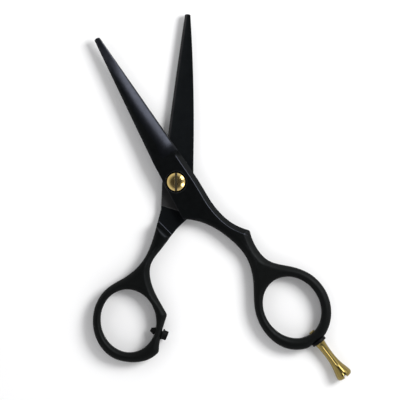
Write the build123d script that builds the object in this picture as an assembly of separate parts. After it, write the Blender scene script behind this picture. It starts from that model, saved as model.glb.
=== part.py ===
from build123d import *
import math
import os

# Hair cutting shears. Millimetres, +Z up, origin on the pivot axis in the plane that the shears lie on.
# +Y bisects the open blades. Each half is drawn closed, in its own frame with +Y towards its tip,
# and is then turned about the pivot by half of the opening.

# Overall
OPENING = 32.6
TOTAL_T = 5.5
SPLIT_Z = TOTAL_T / 2
RIDE_GAP = 0.06
LOWER_TOP = SPLIT_Z - RIDE_GAP / 2
UPPER_BOTTOM = SPLIT_Z + RIDE_GAP / 2
LAYER_T = LOWER_TOP

# How far cutters run past the solid that they cut
SPARE = 4.0

# Blades
ROOT_Y = 9.2
UPPER_TIP_Y = 55.1
LOWER_TIP_Y = 56.55
TIP_T = 1.3
EDGE_T = 0.22
ROOT_DROP = 0.1
SPINE_BREAK = 0.25
HOLLOW_DEPTH = 0.12
CROWN_SHARE = 0.34
BEVEL_BULGE = 0.16
STATIONS = (0.0, 0.11, 0.55, 1.0)
TIP_ROUND = 1.7

# Handles
OUTER_ROUND = 1.3
HOLE_ROUND = 1.1
BUMP_ROUND = 0.6
FOOT_ROUND = 0.8
FACET_WIDTH = 1.6
FACET_DROP = 1.3
RIDE_STEP = 0.25
ROUNDED_BELOW_Y = -13.0

FINGER_HOLE = (10.88, 9.23)
FINGER_CENTRE = (13.76, -55.74)
FINGER_TURN = 97.1
UPPER_BUMP = (13.8, -26.2)
THUMB_HOLE = (10.60, 9.31)
THUMB_CENTRE = (-12.95, -47.60)
THUMB_TURN = 103.0

# Where each half drops to its own layer, so that the other half can swing across it: corners of the
# ground-away side, closed frame
UPPER_DROP = [(-9, 12), (-9, -8), (-3.5, -12.8), (1.9, -17.4), (8.4, -11.4), (12, -8), (12, 12)]
LOWER_DROP = [(12, 12), (12, -28), (1.6, -19.15), (-5.5, -12.91), (-9, -9.8), (-9, 12)]
LOWER_POCKET = [(12, -28), (1.6, -19.15), (-5.5, -12.91), (-9, -9.8), (-9, -7.2), (12, -12.2)]

# Pivot stack, from the head down
HEAD_D = 6.4
HEAD_RIM_Z = 5.42
DOME_RISE = 0.45
HEAD_T = 0.52
SLOT_W = 0.80
SLOT_DEPTH = 0.75
SLOT_TURN = -12.6
RECESS_D = 7.0
RECESS_FLOOR = 4.30
HEAD_WASHER_T = 0.30
SPRING_WASHER_T = 0.18
SPRING_WASHER_RISE = 0.12
WASHER_D = 6.3
SHANK_D = 4.0
BUSH_ID = 4.06
BUSH_OD = 5.2
THREAD_D = 3.46
THREAD_HOLE_D = 3.50
THREAD_END_Z = 0.0
THREAD_BREAK = 0.3
INSERT_OD = 6.0
RIDE_WASHER_D = 7.6
RIDE_WASHER_T = 0.28
RIDE_PROUD = 0.03
INSERT_TOP = LOWER_TOP + RIDE_PROUD - RIDE_WASHER_T
PELLET_D = 1.0
PELLET_Z = 1.3
PELLET_TURN = 200.0

# Finger rest: distances run outwards from its base, which sits on the washer
REST_BASE = (16.19, -70.62)
REST_AIM = -81.8
REST_LENGTH = 14.5
REST_BASE_D = 3.45
REST_WAIST_D = 2.8
REST_WAIST_AT = 4.6
REST_SWELL_D = 3.5
REST_SWELL_AT = 9.0
REST_END_D = 5.5
REST_END_ROUND = 0.6
REST_SLOT_W = 0.8
REST_SLOT_DEPTH = 0.9
REST_THREAD_D = 2.5
REST_THREAD_L = 4.8
REST_THREAD_BREAK = 0.25
REST_THREAD_HOLE_D = 2.56
REST_THREAD_HOLE_L = 8.0
REST_WASHER_D = 5.1
REST_WASHER_T = 1.0
REST_WASHER_BREAK = 0.15
REST_BOSS_D = 4.9
REST_BOSS_L = 1.6

# Bumper: distances run inwards from the middle of its end face
BUMPER_END = (0.39, -51.89)
BUMPER_AIM = -18.8
BUMPER_D = 3.2
BUMPER_FLANGE_D = 3.8
BUMPER_FLANGE_T = 0.45
BUMPER_PAD_BREAK = 0.25
BUMPER_OUT = 2.0
BUMPER_WALL = 2.45
BUMPER_NECK_D = 2.2
BUMPER_TAIL_D = 2.6
BUMPER_TAIL_END_D = 1.15
BUMPER_TAIL_L = 1.6
BUMPER_BORE_L = 7.0


def upper_spine(y):
    return -3.82 + 0.0575 * (y - 6.5)


def upper_edge(y):
    return 1.24 + 0.1027 * (52.1 - y)


def lower_spine(y):
    return 5.62 - 0.030 * y - 0.00087 * y * y


def lower_edge(y):
    return -4.73 + 0.0600 * y + 0.00022 * y * y


def rounded_corner(face, corner, radius):
    """Rounds one corner of a flat outline."""
    return fillet([v for v in face.vertices() if math.hypot(v.X - corner[0], v.Y - corner[1]) < 0.05], radius)


def upper_flank():
    """The upper half's outer side from the shank's bump up to the blade's root, closed frame."""
    root_right = (upper_edge(ROOT_Y), ROOT_Y)
    hip = (6.55, 0.0)
    flank_way = (root_right[0] - hip[0], root_right[1] - hip[1])
    shank = Spline(UPPER_BUMP, (9.19, -19.85), (7.25, -12.5), hip, tangents=[(-0.72, 0.69), flank_way])
    return [shank, Line(hip, root_right)]


def upper_outline():
    """The upper half's plate, shank and finger ring seen from above, closed frame."""
    root_left = (upper_spine(ROOT_Y), ROOT_Y)
    root_right = (upper_edge(ROOT_Y), ROOT_Y)
    heel = (-3.98, -12.0)
    left = Line(root_left, heel)
    ring = Spline(heel, (2.28, -17.57), (6.86, -26.24), (8.41, -34.0), (6.12, -42.7), (2.58, -50.0),
                  (1.7, -58.7), (5.5, -66.9), (12.2, -70.25), (18.3, -69.4), (23.9, -64.5), (26.33, -56.5),
                  (24.6, -49.0), (19.5, -43.0), (14.5, -38.2), (13.0, -32.6), UPPER_BUMP)
    root = Line(root_right, root_left)
    face = Face(Wire([left, ring] + upper_flank() + [root]))
    return rounded_corner(face, UPPER_BUMP, BUMP_ROUND)


def lower_outline():
    """The lower half's plate, shank and thumb ring seen from above, closed frame."""
    root_left = (lower_edge(ROOT_Y), ROOT_Y)
    root_right = (lower_spine(ROOT_Y), ROOT_Y)
    shoulder = (-4.7, -1.0)
    waist = (-4.45, -9.5)
    foot = (-2.05, -57.3)
    bump = (-0.1, -44.7)
    heel = (4.45, -12.3)
    blade_root = Line(root_left, shoulder)
    left = Line(shoulder, waist)
    outer = Spline(waist, (-6.33, -18.76), (-9.4, -27.04), (-14.72, -32.77), (-20.86, -37.21), (-24.1, -42.4),
                   (-24.9, -48.2), (-22.6, -55.6), (-17.8, -60.1), (-11.9, -61.4), (-6.4, -60.55), foot)
    under_bump = Spline(foot, (-1.95, -53.0), (-1.2, -49.0), bump)
    inner = Spline(bump, (-3.96, -38.81), (-6.4, -33.5), (-6.7, -28.4), (-3.35, -22.61), (0.32, -16.98), heel)
    hip = (5.68, 1.8)
    flank = Line(heel, hip)
    spine = Line(hip, root_right)
    root = Line(root_right, root_left)
    face = Face(Wire([blade_root, left, outer, under_bump, inner, flank, spine, root]))
    face = rounded_corner(face, bump, BUMP_ROUND)
    return rounded_corner(face, foot, FOOT_ROUND)


def blade_section(y, spine_x, edge_x, height, drop, facing, plane_z):
    """Across a blade: hollow inside face, flat crown along the spine, convex bevel down to the edge."""
    side = math.copysign(1, edge_x - spine_x)
    crown_x = spine_x + (edge_x - spine_x) * CROWN_SHARE
    edge_h = height - drop
    bevel_h = height - drop / 2 + BEVEL_BULGE * drop

    def at(x, h):
        return Vector(x, y, plane_z + facing * h)

    hollow = ThreePointArc(at(edge_x, 0), at((spine_x + edge_x) / 2, HOLLOW_DEPTH), at(spine_x, 0))
    spine = Line(at(spine_x, 0), at(spine_x, height - SPINE_BREAK))
    spine_break = Line(at(spine_x, height - SPINE_BREAK), at(spine_x + side * SPINE_BREAK, height))
    crown = Line(at(spine_x + side * SPINE_BREAK, height), at(crown_x, height))
    bevel = ThreePointArc(at(crown_x, height), at((crown_x + edge_x) / 2, bevel_h), at(edge_x, edge_h))
    edge = Line(at(edge_x, edge_h), at(edge_x, 0))
    return Face(Wire([hollow, spine, spine_break, crown, bevel, edge]))


def blade(tip_y, spine, edge, facing, plane_z):
    """A blade lofted from the pivot plate to its blunt, rounded tip."""
    sections = []
    for share in STATIONS:
        y = ROOT_Y + share * (tip_y - ROOT_Y)
        height = LAYER_T + share * (TIP_T - LAYER_T)
        drop = ROOT_DROP if share == 0 else height - EDGE_T
        sections.append(blade_section(y, spine(y), edge(y), height, drop, facing, plane_z))
    middle_x = (spine(tip_y) + edge(tip_y)) / 2
    centre_y = tip_y - TIP_ROUND
    beyond = Pos(middle_x, tip_y, 0) * Rectangle(4 * TIP_ROUND, 2 * TIP_ROUND)
    corners = beyond - Pos(middle_x, centre_y, 0) * Circle(TIP_ROUND)
    return loft(sections) - extrude(corners, amount=TOTAL_T)


def ring_hole(centre, semi_axes, turn):
    """A finger hole: a slightly long ellipse, right through the handle."""
    hole = Pos(centre[0], centre[1]) * Rot(0, 0, turn) * Ellipse(semi_axes[0], semi_axes[1])
    return extrude(hole, amount=TOTAL_T)


def handle(face, hole, below_y):
    """An outline raised to full thickness, rounded along the shank and ring and round the finger hole."""
    solid = extrude(face, amount=TOTAL_T)
    level = [e for e in solid.edges() if abs((e @ 0).Z - (e @ 1).Z) < 1e-6]
    solid = fillet([e for e in level if (e @ 0.5).Y < below_y], OUTER_ROUND)
    solid = solid - hole
    rims = [e for e in solid.edges() if e.geom_type == GeomType.ELLIPSE]
    return fillet(rims, HOLE_ROUND)


def bar(diameter, bottom, top):
    """A round bar or hole on the pivot axis between two heights."""
    return Pos(0, 0, bottom) * extrude(Circle(diameter / 2), amount=top - bottom)


def block(points, bottom, top):
    """A straight-sided block over a list of corners."""
    return Pos(0, 0, bottom) * extrude(make_face(Polyline(*points, close=True)), amount=top - bottom)


def seated(point, aim, solid):
    """Lays a solid that stands on the Z axis down at mid-thickness, with its axis along aim."""
    way = Vector(math.cos(math.radians(aim)), math.sin(math.radians(aim)), 0)
    seat = Plane(origin=(point[0], point[1], SPLIT_Z), x_dir=(0, 0, 1), z_dir=way)
    return seat.location * solid


def turned(point, aim, profile):
    """A turned piece on an axis that lies flat at mid-thickness. profile lists (distance, radius)."""
    corners = [(0, profile[0][0])] + [(radius, distance) for distance, radius in profile]
    corners.append((0, profile[-1][0]))
    face = Plane.XZ * make_face(Polyline(*corners, close=True))
    return seated(point, aim, revolve(face, axis=Axis.Z))


def facet_cutter():
    """What is ground off along the upper half's outer top edge, from the bump to the blade's root."""
    path = Pos(0, 0, TOTAL_T) * Wire(upper_flank())
    start = path @ 0
    out = (path % 0).cross(Vector(0, 0, 1))
    slope = FACET_DROP / FACET_WIDTH
    spare = 0.5
    corners = [(spare, spare), (-FACET_WIDTH - spare / slope, spare), (spare, -FACET_DROP - spare * slope)]
    section = Polyline(*[start + out * a + Vector(0, 0, b) for a, b in corners], close=True)
    return sweep(make_face(section), path=path)


def upper_half():
    """Blade, pivot plate, shank and finger ring of the half on top, closed frame."""
    hole = ring_hole(FINGER_CENTRE, FINGER_HOLE, FINGER_TURN)
    solid = handle(upper_outline(), hole, ROUNDED_BELOW_Y)
    solid = solid - block(UPPER_DROP, -1, UPPER_BOTTOM) - facet_cutter()
    solid = solid + blade(UPPER_TIP_Y, upper_spine, upper_edge, 1, UPPER_BOTTOM)
    solid = solid - bar(RECESS_D, RECESS_FLOOR, TOTAL_T + 1) - bar(BUSH_OD, 0, TOTAL_T)
    boss = turned(REST_BASE, REST_AIM, [(-REST_WASHER_T - REST_BOSS_L, REST_BOSS_D / 2),
                                        (-REST_WASHER_T, REST_BOSS_D / 2)])
    spot = turned(REST_BASE, REST_AIM, [(-REST_WASHER_T, REST_BOSS_D), (SPARE, REST_BOSS_D)])
    thread = turned(REST_BASE, REST_AIM, [(-REST_THREAD_HOLE_L, REST_THREAD_HOLE_D / 2),
                                          (SPARE, REST_THREAD_HOLE_D / 2)])
    return solid + boss - spot - thread


def lower_half():
    """Blade, pivot plate, shank and thumb ring of the half underneath, closed frame."""
    hole = ring_hole(THUMB_CENTRE, THUMB_HOLE, THUMB_TURN)
    solid = handle(lower_outline(), hole, ROUNDED_BELOW_Y)
    solid = solid - block(LOWER_DROP, LOWER_TOP, TOTAL_T + 1)
    solid = solid - block(LOWER_POCKET, LOWER_TOP - RIDE_STEP, LOWER_TOP + 1)
    solid = solid + blade(LOWER_TIP_Y, lower_spine, lower_edge, -1, LOWER_TOP)
    solid = solid - bar(INSERT_OD, -SPARE, TOTAL_T) - bar(RIDE_WASHER_D, INSERT_TOP, TOTAL_T)
    flange = BUMPER_FLANGE_D / 2
    neck = BUMPER_NECK_D / 2
    seat = turned(BUMPER_END, BUMPER_AIM, [(-BUMPER_OUT, flange), (SPARE, flange)])
    bore = turned(BUMPER_END, BUMPER_AIM, [(-BUMPER_BORE_L, neck), (SPARE, neck)])
    inside = -BUMPER_OUT - BUMPER_WALL
    tail = BUMPER_TAIL_D / 2
    tail_seat = turned(BUMPER_END, BUMPER_AIM, [(inside - 2 * BUMPER_TAIL_L, tail), (inside, tail)])
    return solid - seat - bore - tail_seat


def pivot_screw():
    """Slotted tension screw: domed head, plain shank and a thread for the insert."""
    head_bottom = HEAD_RIM_Z - HEAD_T
    rim = HEAD_D / 2
    dome_radius = (rim * rim + DOME_RISE * DOME_RISE) / (2 * DOME_RISE)
    dome_centre = HEAD_RIM_Z + DOME_RISE - dome_radius
    thread = THREAD_D / 2
    profile = [Line((0, THREAD_END_Z), (thread - THREAD_BREAK, THREAD_END_Z)),
               Line((thread - THREAD_BREAK, THREAD_END_Z), (thread, THREAD_END_Z + THREAD_BREAK)),
               Line((thread, THREAD_END_Z + THREAD_BREAK), (thread, INSERT_TOP)),
               Line((thread, INSERT_TOP), (SHANK_D / 2, INSERT_TOP)),
               Line((SHANK_D / 2, INSERT_TOP), (SHANK_D / 2, head_bottom)),
               Line((SHANK_D / 2, head_bottom), (rim, head_bottom)),
               Line((rim, head_bottom), (rim, HEAD_RIM_Z)),
               ThreePointArc((rim, HEAD_RIM_Z),
                             (rim / 2, dome_centre + math.sqrt(dome_radius ** 2 - rim * rim / 4)),
                             (0, HEAD_RIM_Z + DOME_RISE)),
               Line((0, HEAD_RIM_Z + DOME_RISE), (0, THREAD_END_Z))]
    solid = revolve(Plane.XZ * make_face(profile), axis=Axis.Z)
    slot_floor = HEAD_RIM_Z + DOME_RISE - SLOT_DEPTH
    slot = Pos(0, 0, slot_floor) * Rot(0, 0, SLOT_TURN) * extrude(Rectangle(SLOT_W, 2 * HEAD_D), amount=SPARE)
    return solid - slot


def washer(outer_d, inner_d, bottom, thickness):
    """A flat ring on the pivot axis."""
    return bar(outer_d, bottom, bottom + thickness) - bar(inner_d, bottom - 1, bottom + thickness + 1)


def spring_washer():
    """A shallow cone washer that carries the screw's head on its inner rim."""
    low = RECESS_FLOOR + HEAD_WASHER_T
    outer = WASHER_D / 2
    inner = SHANK_D / 2 + 0.1
    raised = low + SPRING_WASHER_RISE
    thick = SPRING_WASHER_T
    corners = [(outer, low), (outer, low + thick), (inner, raised + thick), (inner, raised)]
    return revolve(Plane.XZ * make_face(Polyline(*corners, close=True)), axis=Axis.Z)


def threaded_insert():
    """Steel insert pressed into the lower half, with a cross hole for the lock pellet."""
    return washer(INSERT_OD, THREAD_HOLE_D, 0, INSERT_TOP) - pellet_hole()


def pellet_hole():
    """The lock pellet's hole: from the thread out to the insert's rim."""
    start = THREAD_HOLE_D / 2
    way = Vector(math.cos(math.radians(PELLET_TURN)), math.sin(math.radians(PELLET_TURN)), 0)
    plane = Plane(origin=Vector(0, 0, PELLET_Z) + way * start, x_dir=(0, 0, 1), z_dir=way)
    return extrude(plane * Circle(PELLET_D / 2), amount=INSERT_OD / 2 - start - 0.1)


def finger_rest():
    """Turned finger rest: thread, round base, narrow waist, flared end with a screwdriver slot."""
    base = REST_BASE_D / 2
    waist = REST_WAIST_D / 2
    end = REST_END_D / 2
    thread = REST_THREAD_D / 2
    side = Spline((base, 0), (waist, REST_WAIST_AT), (REST_SWELL_D / 2, REST_SWELL_AT),
                  (end, REST_LENGTH - REST_END_ROUND), tangents=[(-0.1, 1), (0.12, 1)])
    thread_end = -REST_THREAD_L
    profile = [Line((0, thread_end), (thread - REST_THREAD_BREAK, thread_end)),
               Line((thread - REST_THREAD_BREAK, thread_end), (thread, thread_end + REST_THREAD_BREAK)),
               Line((thread, thread_end + REST_THREAD_BREAK), (thread, 0)),
               Line((thread, 0), (base, 0)),
               side,
               ThreePointArc((end, REST_LENGTH - REST_END_ROUND),
                             (end - 0.3 * REST_END_ROUND, REST_LENGTH - 0.3 * REST_END_ROUND),
                             (end - REST_END_ROUND, REST_LENGTH)),
               Line((end - REST_END_ROUND, REST_LENGTH), (0, REST_LENGTH)),
               Line((0, REST_LENGTH), (0, thread_end))]
    solid = revolve(Plane.XZ * make_face(profile), axis=Axis.Z)
    slot_floor = REST_LENGTH - REST_SLOT_DEPTH
    slot = Pos(0, 0, slot_floor) * extrude(Rectangle(2 * REST_END_D, REST_SLOT_W), amount=SPARE)
    return seated(REST_BASE, REST_AIM, solid - slot)


def finger_rest_washer():
    """The collar between the finger ring and the finger rest."""
    rim = REST_WASHER_D / 2
    hole = REST_THREAD_HOLE_D / 2
    edge = REST_WASHER_BREAK
    disc = turned(REST_BASE, REST_AIM, [(-REST_WASHER_T, rim - edge), (-REST_WASHER_T + edge, rim),
                                        (-edge, rim), (0, rim - edge)])
    return disc - turned(REST_BASE, REST_AIM, [(-2 * REST_WASHER_T, hole), (REST_WASHER_T, hole)])


def bumper():
    """Rubber stop: round pad and flange outside the thumb ring, neck through it, tapered tail inside."""
    pad = BUMPER_D / 2
    flange = BUMPER_FLANGE_D / 2
    neck = BUMPER_NECK_D / 2
    inside = -BUMPER_OUT - BUMPER_WALL
    return turned(BUMPER_END, BUMPER_AIM, [
        (0, pad - BUMPER_PAD_BREAK), (-BUMPER_PAD_BREAK, pad), (-BUMPER_OUT + BUMPER_FLANGE_T, pad),
        (-BUMPER_OUT + BUMPER_FLANGE_T, flange), (-BUMPER_OUT, flange), (-BUMPER_OUT, neck), (inside, neck),
        (inside, BUMPER_TAIL_D / 2), (inside - BUMPER_TAIL_L, BUMPER_TAIL_END_D / 2)])


def write(name, shape, half_turn):
    """Writes one piece, turned from its half's closed frame to the open pose."""
    export_step(Rot(0, 0, half_turn) * shape, os.path.join("parts", name + ".step"))


def main():
    os.makedirs("parts", exist_ok=True)
    opened = OPENING / 2
    write("upper_half", upper_half(), opened)
    write("pivot_bush", washer(BUSH_OD, BUSH_ID, UPPER_BOTTOM, RECESS_FLOOR - UPPER_BOTTOM), opened)
    write("finger_rest", finger_rest(), opened)
    write("finger_rest_washer", finger_rest_washer(), opened)
    write("lower_half", lower_half(), -opened)
    write("bumper", bumper(), -opened)
    write("threaded_insert", threaded_insert(), -opened)
    write("lock_pellet", pellet_hole(), -opened)
    write("ride_washer", washer(RIDE_WASHER_D, BUSH_ID, INSERT_TOP, RIDE_WASHER_T), -opened)
    write("pivot_screw", pivot_screw(), 0)
    write("head_washer", washer(WASHER_D, BUSH_ID, RECESS_FLOOR, HEAD_WASHER_T), 0)
    write("spring_washer", spring_washer(), 0)


main()
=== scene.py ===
import bpy
import bmesh
import math
import numpy as np
from mathutils import Matrix, Vector
from mathutils.geometry import delaunay_2d_cdt


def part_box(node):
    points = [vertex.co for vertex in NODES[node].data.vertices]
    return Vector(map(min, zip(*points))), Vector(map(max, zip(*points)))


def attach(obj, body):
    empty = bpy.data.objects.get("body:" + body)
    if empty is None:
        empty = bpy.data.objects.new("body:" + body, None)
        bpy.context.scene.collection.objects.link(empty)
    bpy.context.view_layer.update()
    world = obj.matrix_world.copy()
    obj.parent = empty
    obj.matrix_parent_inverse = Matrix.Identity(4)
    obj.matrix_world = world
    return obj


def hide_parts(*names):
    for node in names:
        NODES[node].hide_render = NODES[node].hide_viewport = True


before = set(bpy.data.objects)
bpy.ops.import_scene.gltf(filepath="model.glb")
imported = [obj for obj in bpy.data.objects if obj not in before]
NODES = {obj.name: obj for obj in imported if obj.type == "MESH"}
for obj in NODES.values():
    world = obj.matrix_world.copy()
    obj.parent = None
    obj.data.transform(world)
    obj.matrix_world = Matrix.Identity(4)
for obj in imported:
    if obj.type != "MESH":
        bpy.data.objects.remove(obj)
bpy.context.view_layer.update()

MM = 0.001
OPEN_HALF = math.radians(16.3)

# heights of the flat faces, read from the CAD boxes (mm)
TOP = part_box("upper_half")[1].z / MM
UPPER_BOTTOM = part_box("pivot_bush")[0].z / MM
LOWER_TOP = TOP - UPPER_BOTTOM
RECESS_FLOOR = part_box("pivot_bush")[1].z / MM
POCKET_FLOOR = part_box("ride_washer")[0].z / MM

# ---------------------------------------------------------------- blades, closed frame, mm
ROOT_Y = 9.2
TIP_ROUND = 1.7
TIP_T = 1.3
EDGE_T = 0.22
SPINE_BREAK, SPINE_BREAK_RUN = 0.25, 1.5
HOLLOW_DEPTH, HOLLOW_RUN = 0.12, 2.5
PLUNGE_L, PLUNGE_POWER = 4.6, 1.15
HONED_W = 0.8
BEVEL_SLOPE = 0.80
CURVED_LEAST = 0.3
EDGE_POWER = 40
# along the blade, each as (places y, values there): where the bevel starts, the power of its curve, and how
# much of its drop is curved
CROWN = ((10, 14, 20, 30, 40, 50), (0.36, 0.40, 0.33, 0.22, 0.12, 0.04))
CURVE_POWER = ((36, 47), (2.0, 1.12))
CURVED_SHARE = ((28, 36, 44, 50, 55), (1.0, 0.90, 0.62, 0.46, 0.36))
# mesh rows on a blade
ROW_STEP = 0.55
EDGE_ROWS = (0.14, 0.3, 0.5, HONED_W, 1.15)
INNER_FROM, SPINE_CLEAR = 1.65, 0.6
FIRST_ROW, TIP_CLEAR = 0.45, 0.3
TIP_STEPS = 12


class Blade:
    """One blade's lines in its half's closed frame. side is 1 where the edge has the larger x."""

    def __init__(self, tip_y, spine, edge, side):
        self.tip_y, self.spine, self.edge, self.side = tip_y, spine, edge, side
        self.middle = (spine(tip_y) + edge(tip_y)) / 2

    def reach(self, y):
        """How far from the tip's middle line the rounded tip lets the outline go."""
        over = np.clip(np.asarray(y, float) - (self.tip_y - TIP_ROUND), 0, TIP_ROUND)
        return np.where(over > 0, np.sqrt(TIP_ROUND ** 2 - over ** 2), 1e3)

    def sides(self, y):
        """(left x, right x) of the outline at y."""
        a, b = self.spine(y), self.edge(y)
        left, right = np.minimum(a, b), np.maximum(a, b)
        far = self.reach(y)
        return np.maximum(left, self.middle - far), np.minimum(right, self.middle + far)

    def thickness(self, y):
        """Height of the flat of the outer face above the inner plane."""
        share = np.clip((y - ROOT_Y) / (self.tip_y - ROOT_Y), 0, 1)
        return LOWER_TOP + share * (TIP_T - LOWER_TOP)

    def heights(self, x, y):
        """The inner face's hollow, the outer face's height above the inner plane, and the share of the way
        down the bevel."""
        spine, edge = self.spine(y), self.edge(y)
        width = np.abs(edge - spine)
        across = np.clip(np.abs(x - spine) / width, 0, 1)
        thick = self.thickness(y)
        drop = thick - EDGE_T
        crown = self.crown(y)
        s = np.clip((across - crown) / (1 - crown), 0, 1)
        power = np.interp(y, *CURVE_POWER)
        curved = np.clip(BEVEL_SLOPE * width * (1 - crown) ** 2 / (2 * drop), CURVED_LEAST, 1)
        curved = curved * np.interp(y, *CURVED_SHARE)
        run_in = np.clip((y - ROOT_Y) / PLUNGE_L, 0, 1)
        run_in = 1 - (1 - run_in ** PLUNGE_POWER) ** 2
        outer = thick - drop * run_in * (curved * s ** power + (1 - curved) * s ** EDGE_POWER)
        broken = np.clip(SPINE_BREAK - np.abs(x - spine), 0, SPINE_BREAK)
        broken = broken * np.clip((y - ROOT_Y) / SPINE_BREAK_RUN, 0, 1)
        outer = np.minimum(outer, thick - broken)
        fade = np.clip((y - ROOT_Y) / HOLLOW_RUN, 0, 1)
        hollow = HOLLOW_DEPTH * 4 * across * (1 - across) * fade
        return hollow, outer, s

    def crown(self, y):
        """Where the flat ends and the bevel starts, as a share of the width from the spine."""
        return np.interp(y, *CROWN)

    def points(self):
        """Where the surface needs vertices, apart from the outline."""
        out = []
        for y in np.arange(ROOT_Y + FIRST_ROW, self.tip_y - TIP_CLEAR, ROW_STEP):
            spine, edge = self.spine(y), self.edge(y)
            inner = np.arange(INNER_FROM, abs(edge - spine) - SPINE_CLEAR, ROW_STEP)
            out.append((spine + self.side * SPINE_BREAK, y))
            out += [(edge - self.side * d, y) for d in (*EDGE_ROWS, *inner)]
        return np.array(out)


UPPER_BLADE = Blade(55.1, lambda y: -3.82 + 0.0575 * (y - 6.5),
                    lambda y: 1.24 + 0.1027 * (52.1 - y), 1)
LOWER_BLADE = Blade(56.545, lambda y: 5.62 - 0.030 * y - 0.00087 * y * y,
                    lambda y: -4.73 + 0.0600 * y + 0.00022 * y * y, -1)

# ---------------------------------------------------------------- outlines
FINE_STEP = 0.02
HANDLE_TOP = ROOT_Y - 0.15


def turned(points, angle):
    """Points turned about the origin."""
    c, s = math.cos(angle), math.sin(angle)
    p = np.asarray(points, float)
    return np.stack([p[:, 0] * c - p[:, 1] * s, p[:, 0] * s + p[:, 1] * c], 1)


def section(node, z):
    """The longest closed outline of a CAD node at height z, in mm, in the object's frame."""
    bm = bmesh.new()
    bm.from_mesh(NODES[node].data)
    bmesh.ops.remove_doubles(bm, verts=bm.verts, dist=2e-7)
    everything = bm.verts[:] + bm.edges[:] + bm.faces[:]
    bmesh.ops.bisect_plane(bm, geom=everything, plane_co=(0, 0, z * MM), plane_no=(0, 0, 1),
                           clear_inner=True, clear_outer=True)
    bmesh.ops.remove_doubles(bm, verts=bm.verts, dist=2e-6)
    best, seen = [], set()
    for start in bm.verts:
        if start in seen or len(start.link_edges) != 2:
            continue
        loop, here, edge = [start], start, start.link_edges[0]
        while True:
            here = edge.other_vert(here)
            if here is start or len(here.link_edges) != 2:
                break
            loop.append(here)
            edge = [e for e in here.link_edges if e is not edge][0]
        seen.update(loop)
        if len(loop) > len(best):
            best = loop
    points = np.array([(v.co.x / MM, v.co.y / MM) for v in best])
    bm.free()
    return points


def area(p):
    """Signed area of a closed outline, positive where it runs counter-clockwise."""
    q = np.roll(p, -1, 0)
    return 0.5 * float(np.sum(p[:, 0] * q[:, 1] - q[:, 0] * p[:, 1]))


def resampled(p, step):
    """An open polyline with new points, step(x, y) apart and slightly smoothed."""
    length = np.concatenate([[0], np.cumsum(np.hypot(*np.diff(p, axis=0).T))])
    fine = np.arange(0, length[-1], FINE_STEP)
    x, y = np.interp(fine, length, p[:, 0]), np.interp(fine, length, p[:, 1])
    weight = np.concatenate([[0], np.cumsum(FINE_STEP / step(x, y))[:-1]])
    count = int(round(weight[-1]))
    at = np.interp(np.linspace(0, weight[-1], count + 1), weight, fine)
    out = np.stack([np.interp(at, fine, x), np.interp(at, fine, y)], 1)
    for _ in range(2):
        out[1:-1] = 0.5 * out[1:-1] + 0.25 * (out[:-2] + out[2:])
    return out


def half_outline(node, z, back, blade, step):
    """A half's whole outline, counter-clockwise, in its closed frame."""
    p = turned(section(node, z), back)
    if area(p) < 0:
        p = p[::-1]
    low = p[:, 1] < HANDLE_TOP
    first = [i for i in range(len(p)) if low[i] and not low[i - 1]][0]
    p = np.roll(p, -first, 0)
    p = p[p[:, 1] < HANDLE_TOP]
    round_ys = blade.tip_y - TIP_ROUND * (1 - np.sin(np.linspace(0, math.pi / 2, TIP_STEPS)))
    ys = np.concatenate([np.arange(ROOT_Y, blade.tip_y - TIP_ROUND, ROW_STEP), round_ys])
    left, right = blade.sides(ys)
    p = np.vstack([[left[0], ROOT_Y], p, [right[0], ROOT_Y]])
    handle = resampled(p, step)
    up = np.stack([right, ys], 1)[1:]
    down = np.stack([left, ys], 1)[::-1][1:-1]
    return np.vstack([handle, up, down])


def ellipse(centre, semi, turn, count):
    """Points round an ellipse with the given semi-axes, turned by degrees."""
    a = np.linspace(0, 2 * math.pi, count, endpoint=False)
    p = np.stack([semi[0] * np.cos(a), semi[1] * np.sin(a)], 1)
    return turned(p, math.radians(turn)) + np.array(centre)


def circle(radius, count):
    return ellipse((0, 0), (radius, radius), 0, count)


def inside(points, loops):
    """Even-odd test of points against closed loops."""
    x, y = points[:, 0][:, None], points[:, 1][:, None]
    count = np.zeros(len(points), int)
    for loop in loops:
        a, b = loop, np.roll(loop, -1, 0)
        cross = (a[:, 1] > y) != (b[:, 1] > y)
        with np.errstate(divide="ignore", invalid="ignore"):
            at = (b[:, 0] - a[:, 0]) * (y - a[:, 1]) / (b[:, 1] - a[:, 1]) + a[:, 0]
        count += np.sum(cross & (x < at), 1)
    return count % 2 == 1


def distance(points, loop, closed=True):
    """Distance from each point to a polyline."""
    a = loop if closed else loop[:-1]
    b = np.roll(loop, -1, 0) if closed else loop[1:]
    d = b - a
    out = np.empty(len(points))
    for start in range(0, len(points), 2000):
        p = points[start:start + 2000]
        w = p[:, None, :] - a[None]
        t = np.clip((w * d).sum(2) / np.maximum((d * d).sum(1), 1e-12), 0, 1)
        out[start:start + 2000] = np.sqrt(((w - t[..., None] * d) ** 2).sum(2)).min(1)
    return out


def offset_rows(loop, rows, side):
    """(points, distance) of rows beside a closed loop, on its left if side is 1 and on its right if -1."""
    way = np.roll(loop, -1, 0) - np.roll(loop, 1, 0)
    way /= np.linalg.norm(way, axis=1)[:, None]
    normal = np.stack([-way[:, 1], way[:, 0]], 1) * side
    return [(loop + normal * d, d) for d in rows]


def thinned(fixed, others, gap, cell):
    """The fixed points, then the others that keep the gap to every point taken before them."""
    everything = np.vstack([fixed, *others])
    taken, order = {}, []
    for i, (x, y) in enumerate(everything):
        column, row = int(math.floor(x / cell)), int(math.floor(y / cell))
        if i >= len(fixed):
            around = (taken.get((column + dx, row + dy)) for dx in (-1, 0, 1) for dy in (-1, 0, 1))
            near = (everything[j] for j in around if j is not None)
            if any(math.hypot(q[0] - x, q[1] - y) < gap for q in near):
                continue
        taken[column, row] = i
        order.append(i)
    return everything[order]


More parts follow.
